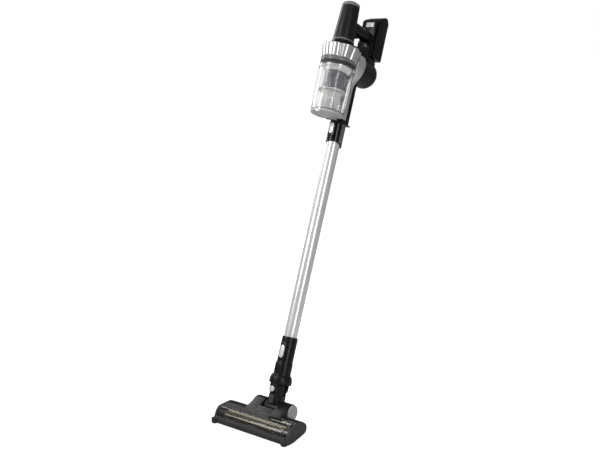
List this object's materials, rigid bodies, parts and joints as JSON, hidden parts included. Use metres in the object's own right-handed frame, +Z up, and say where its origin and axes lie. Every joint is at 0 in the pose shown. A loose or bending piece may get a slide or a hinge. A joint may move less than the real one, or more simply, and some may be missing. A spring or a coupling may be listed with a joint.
{
  "type": "cordless stick vacuum",
  "caption": "Cordless stick vacuum with clear dust cup, filter tower, rear grip and battery pack, satin wand and a swivelling powered floor head.",
  "frame": {"origin": "on the floor at the sole plate, straight under the neck's pitch axis, in use with the sole flat on the floor", "axes": "+Z up, -Y towards the front of the floor head, +X along the brush roller; the stick leans back towards +Y"},
  "size_m": [0.261, 0.6494, 1.1516],
  "materials": {
    "black_gloss": "polished moulded ABS",
    "black_satin": "fine-grained moulded ABS",
    "grey_cap": "textured grey plastic",
    "light_grey": "light grey plastic with a fine speckle",
    "silver_paint": "bright silver lacquer on plastic",
    "satin_tube": "satin anodised tube",
    "clear_cup": "clear polycarbonate",
    "smoked_clear": "smoke-tinted polycarbonate",
    "steel": "brushed steel",
    "mesh_metal": "etched steel mesh",
    "bristle": "nylon bristles and woven strip",
    "rubber_dark": "soft moulded rubber",
    "filter_paper": "pleated filter paper",
    "brass_contact": "spring brass",
    "cell_wrap": "heat-shrink sleeve"
  },
  "bodies": {
    "main_unit": {"front_frame": "silver_paint", "duct_rear": "black_satin", "inlet_spigot": "black_satin", "crown_ring": "silver_paint", "tower_collar": "black_gloss", "tower_ring": "light_grey", "filter_tower": "black_gloss", "motor_housing": "black_satin", "exhaust_grille": "black_satin", "suction_motor": "steel", "motor_mount": "rubber_dark", "handle_left": "black_satin", "handle_right": "black_satin", "battery_dock": "black_gloss", "dock_contacts": "brass_contact", "status_panel": "light_grey"},
    "fan_rotor": {"impeller": "light_grey"},
    "trigger": {"trigger": "black_gloss"},
    "filter_pack": {"filter_cap": "light_grey", "hepa_filter": "filter_paper"},
    "battery": {"battery_case": "black_gloss", "battery_cells": "cell_wrap"},
    "battery_latch": {"battery_release": "light_grey"},
    "cup": {"dust_cup": "clear_cup", "cup_gasket": "rubber_dark", "cup_ring": "light_grey", "cyclone_cone": "silver_paint", "mesh_shroud": "mesh_metal", "dust_tube": "light_grey", "hinge_block": "black_gloss", "lid_pin": "steel"},
    "lid": {"cup_lid": "grey_cap"},
    "lid_catch": {"lid_latch": "clear_cup"},
    "cup_button": {"cup_release": "light_grey"},
    "wand": {"wand_tube": "satin_tube", "upper_collar": "black_gloss"},
    "wand_button": {"upper_button": "light_grey"},
    "foot": {"swivel_yoke": "black_satin"},
    "foot_button": {"lower_button": "light_grey"},
    "neck": {"neck_hub": "black_satin", "flex_hose": "rubber_dark", "swivel_pins": "light_grey"},
    "floor_head": {"head_shell": "black_gloss", "brush_window": "smoked_clear", "front_bumper": "rubber_dark", "end_cap_left": "grey_cap", "end_cap_right": "grey_cap", "sole_plate": "black_satin", "sole_screws": "steel", "hub_discs": "light_grey", "pitch_stubs": "steel", "air_duct": "black_satin", "brush_bearings": "steel", "brush_motor": "steel", "drive_belt": "rubber_dark"},
    "brush_roll": {"brush_core": "black_satin", "brush_tufts": "bristle"},
    "brush_drive": {"motor_pulley": "brass_contact"},
    "wheel_left": {"rear_wheel_left": "rubber_dark"},
    "wheel_right": {"rear_wheel_right": "rubber_dark"}
  },
  "joints": [
    {"name": "fan_spin", "type": "hinge", "parent": "main_unit", "child": "fan_rotor", "pos_m": [0, 0.36289, 0.96876], "axis": [0, 0.9317, -0.3633], "continuous": true},
    {"name": "trigger_pull", "type": "slide", "parent": "main_unit", "child": "trigger", "axis": [0, 0.3633, 0.9317], "range_m": [0, 0.004], "stiffness_N_per_m": 600},
    {"name": "filter_lift", "type": "slide", "parent": "main_unit", "child": "filter_pack", "axis": [0, 0.3633, 0.9317], "range_m": [0, 0.11]},
    {"name": "battery_slide", "type": "slide", "parent": "main_unit", "child": "battery", "axis": [0, 0.3633, 0.9317], "range_m": [0, 0.12]},
    {"name": "battery_release_press", "type": "slide", "parent": "battery", "child": "battery_latch", "axis": [0, -0.9317, 0.3633], "range_m": [0, 0.0024], "stiffness_N_per_m": 800},
    {"name": "cup_pull", "type": "slide", "parent": "main_unit", "child": "cup", "axis": [0, -0.9317, 0.3633], "range_m": [0, 0.12]},
    {"name": "lid_hinge", "type": "hinge", "parent": "cup", "child": "lid", "pos_m": [0, 0.27671, 0.82204], "axis": [1, 0, 0], "range_deg": [0, 60]},
    {"name": "latch_hinge", "type": "hinge", "parent": "cup", "child": "lid_catch", "pos_m": [0, 0.20058, 0.86353], "axis": [1, 0, 0], "range_deg": [-10, 0], "stiffness_Nm_per_rad": 0.2},
    {"name": "cup_release_press", "type": "slide", "parent": "cup", "child": "cup_button", "axis": [0, 0.3633, 0.9317], "range_m": [0, 0.002], "stiffness_N_per_m": 800},
    {"name": "wand_slide", "type": "slide", "parent": "main_unit", "child": "wand", "axis": [0, -0.3633, -0.9317], "range_m": [0, 0.06]},
    {"name": "wand_button_press", "type": "slide", "parent": "wand", "child": "wand_button", "axis": [0, 0.9317, -0.3633], "range_m": [0, 0.002], "stiffness_N_per_m": 800},
    {"name": "foot_slide", "type": "slide", "parent": "wand", "child": "foot", "axis": [0, -0.3633, -0.9317], "range_m": [0, 0.06]},
    {"name": "foot_button_press", "type": "slide", "parent": "foot", "child": "foot_button", "axis": [0, 0.9317, -0.3633], "range_m": [0, 0.0018], "stiffness_N_per_m": 800},
    {"name": "swivel", "type": "hinge", "parent": "foot", "child": "neck", "pos_m": [0, 0.01889, 0.08645], "axis": [0, 0.9317, -0.3633], "range_deg": [-50, 50]},
    {"name": "neck_pitch", "type": "hinge", "parent": "neck", "child": "floor_head", "pos_m": [0, 0, 0.038], "axis": [1, 0, 0], "range_deg": [-21.3, 60]},
    {"name": "brush_spin", "type": "hinge", "parent": "floor_head", "child": "brush_roll", "pos_m": [0, -0.079, 0.018], "axis": [1, 0, 0], "continuous": true},
    {"name": "brush_drive_spin", "type": "hinge", "parent": "floor_head", "child": "brush_drive", "pos_m": [0.1, -0.042, 0.026], "axis": [1, 0, 0], "continuous": true},
    {"name": "wheel_left_spin", "type": "hinge", "parent": "floor_head", "child": "wheel_left", "pos_m": [-0.044, -0.014, 0.0065], "axis": [1, 0, 0], "continuous": true},
    {"name": "wheel_right_spin", "type": "hinge", "parent": "floor_head", "child": "wheel_right", "pos_m": [0.044, -0.014, 0.0065], "axis": [1, 0, 0], "continuous": true}
  ],
  "couplings": [
    {"joint": "brush_drive_spin", "follows": "brush_spin", "ratio": 1.8}
  ]
}
